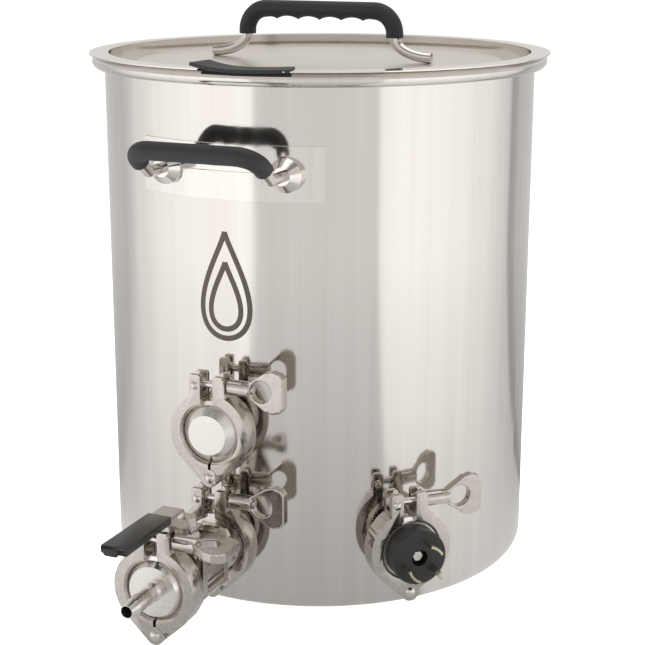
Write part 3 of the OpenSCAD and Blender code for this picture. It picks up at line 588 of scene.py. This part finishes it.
stood(soft_panel("left_softbox", 2.4, 1.5, 1.4), -80, PANEL_DISTANCE, PANEL_HEIGHT)
stood(soft_panel("right_softbox", 2.0, 1.5, 1.2), 74, PANEL_DISTANCE, PANEL_HEIGHT)
overhead = soft_panel("overhead_softbox", 2.2, 2.2, 1.2)
overhead.location = (0, 0.3, 2.2)
overhead.visible_camera = False

# A fabric light tent stands round the kettle, seen only in its polish: bright sheets left and
# right, a duller gap where the camera looks in, and grey cloth behind. The table inside it is
# painted duller towards the kettle: painted shade, standing in for the shade the kettle casts on
# it. Each tent stop is a bearing from the camera and a radiance; each table shade stop is a
# distance from the kettle's axis and a share. Above the rim the cloth is an even grey.
TENT_RADIUS = 1.45
TENT_HEIGHT = 1.5
TENT_FULL = 1.5
TENT_STOPS = ((-180, 0.7), (-134, 0.69), (-122, 0.71), (-116, 0.8), (-108, 1.03), (-98, 1.15),
              (-86, 1.33), (-60, 1.47), (-33, 1.5), (-31, 0.94), (0, 0.93), (28, 0.95),
              (30, 1.38), (45, 1.46), (70, 1.4), (82, 1.3), (94, 1.18), (106, 1.0), (113, 0.9),
              (116, 0.5), (121, 0.53), (125, 0.68), (180, 0.7))
TENT_GREY_FROM, TENT_GREY_TO = 0.46, 0.56
# Painted shade: the table's share falls towards the kettle's axis, in place of the kettle's shade.
TABLE_SHADE_STOPS = ((0.18, 0.58), (0.33, 0.66), (0.66, 0.81), (1.15, 0.92), (1.45, 0.98))


def graded(tree, value, stops, low, high, full):
    """A colour ramp over value, from low to high, with its stops given as values up to full."""
    place = add(tree, "ShaderNodeMapRange", {"Value": value, "From Min": low, "From Max": high})
    ramp = add(tree, "ShaderNodeValToRGB", {"Fac": place.outputs["Result"]})
    elements = ramp.color_ramp.elements
    while len(elements) < len(stops):
        elements.new(0.5)
    for element, (at, _) in zip(elements, stops):
        element.position = (at - low) / (high - low)
    for element, (_, level) in zip(elements, stops):
        element.color = (level / full, level / full, level / full, 1.0)
    return ramp.outputs["Color"]


bpy.ops.object.select_all(action="DESELECT")
bpy.ops.mesh.primitive_cylinder_add(vertices=128, radius=TENT_RADIUS, depth=TENT_HEIGHT,
                                    location=(0, 0, TENT_HEIGHT / 2 + 0.0004))
tent = bpy.context.object
tent.name = "light_tent"
bpy.ops.object.transform_apply(location=True)
bpy.ops.object.mode_set(mode="EDIT")
bpy.ops.mesh.select_all(action="DESELECT")
bpy.ops.object.mode_set(mode="OBJECT")
for face in tent.data.polygons:
    face.select = face.center.z > TENT_HEIGHT - 0.01
bpy.ops.object.mode_set(mode="EDIT")
bpy.ops.mesh.select_mode(type="FACE")
bpy.ops.mesh.delete(type="FACE")
bpy.ops.object.mode_set(mode="OBJECT")
tent.rotation_euler = (0, 0, math.radians(CAMERA_BEARING))
cloth = bpy.data.materials.new("lit_tent_cloth")
cloth.use_nodes = True
tree = cloth.node_tree
tree.nodes.remove(tree.nodes["Principled BSDF"])
axes = add(tree, "ShaderNodeSeparateXYZ",
           {0: add(tree, "ShaderNodeTexCoord").outputs["Object"]}).outputs
behind = add(tree, "ShaderNodeMath", {0: axes["Y"], 1: -1.0}, operation="MULTIPLY")
bearing = add(tree, "ShaderNodeMath", {0: axes["X"], 1: behind.outputs[0]}, operation="ARCTAN2")
turn = add(tree, "ShaderNodeMath", {0: bearing.outputs[0], 1: 180 / math.pi},
           operation="MULTIPLY")
sheets = graded(tree, turn.outputs[0], TENT_STOPS, -180, 180, TENT_FULL)
flat = add(tree, "ShaderNodeCombineXYZ", {"X": axes["X"], "Y": axes["Y"]})
reach = add(tree, "ShaderNodeVectorMath", {0: flat.outputs[0]}, operation="LENGTH")
# The table's painted shade, darker near the kettle, multiplies the sheets.
painted_table_shade = graded(tree, reach.outputs["Value"], TABLE_SHADE_STOPS, TABLE_SHADE_STOPS[0][0], TENT_RADIUS, 1.0)
shaded = add(tree, "ShaderNodeMix", {0: 1.0, 6: sheets, 7: painted_table_shade}, data_type="RGBA",
             blend_type="MULTIPLY")
upper = add(tree, "ShaderNodeMapRange", {"Value": axes["Z"], "From Min": TENT_GREY_FROM,
                                         "From Max": TENT_GREY_TO})
level = add(tree, "ShaderNodeMix", {0: upper.outputs["Result"], 6: shaded.outputs[2],
                                    7: hex_colour("#c0bebb")}, data_type="RGBA")
glow = add(tree, "ShaderNodeEmission", {"Color": level.outputs[2], "Strength": TENT_FULL})
tree.links.new(glow.outputs[0], tree.nodes["Material Output"].inputs["Surface"])
tent.data.materials.append(cloth)
tent.visible_camera = False
tent.visible_diffuse = False
tent.visible_shadow = False
tent.visible_transmission = False

world = bpy.data.worlds.new("soft_room")
world.use_nodes = True
sky = world.node_tree.nodes["Background"].inputs
sky["Color"].default_value = hex_colour("#f2efec")
sky["Strength"].default_value = 0.35
bpy.context.scene.world = world
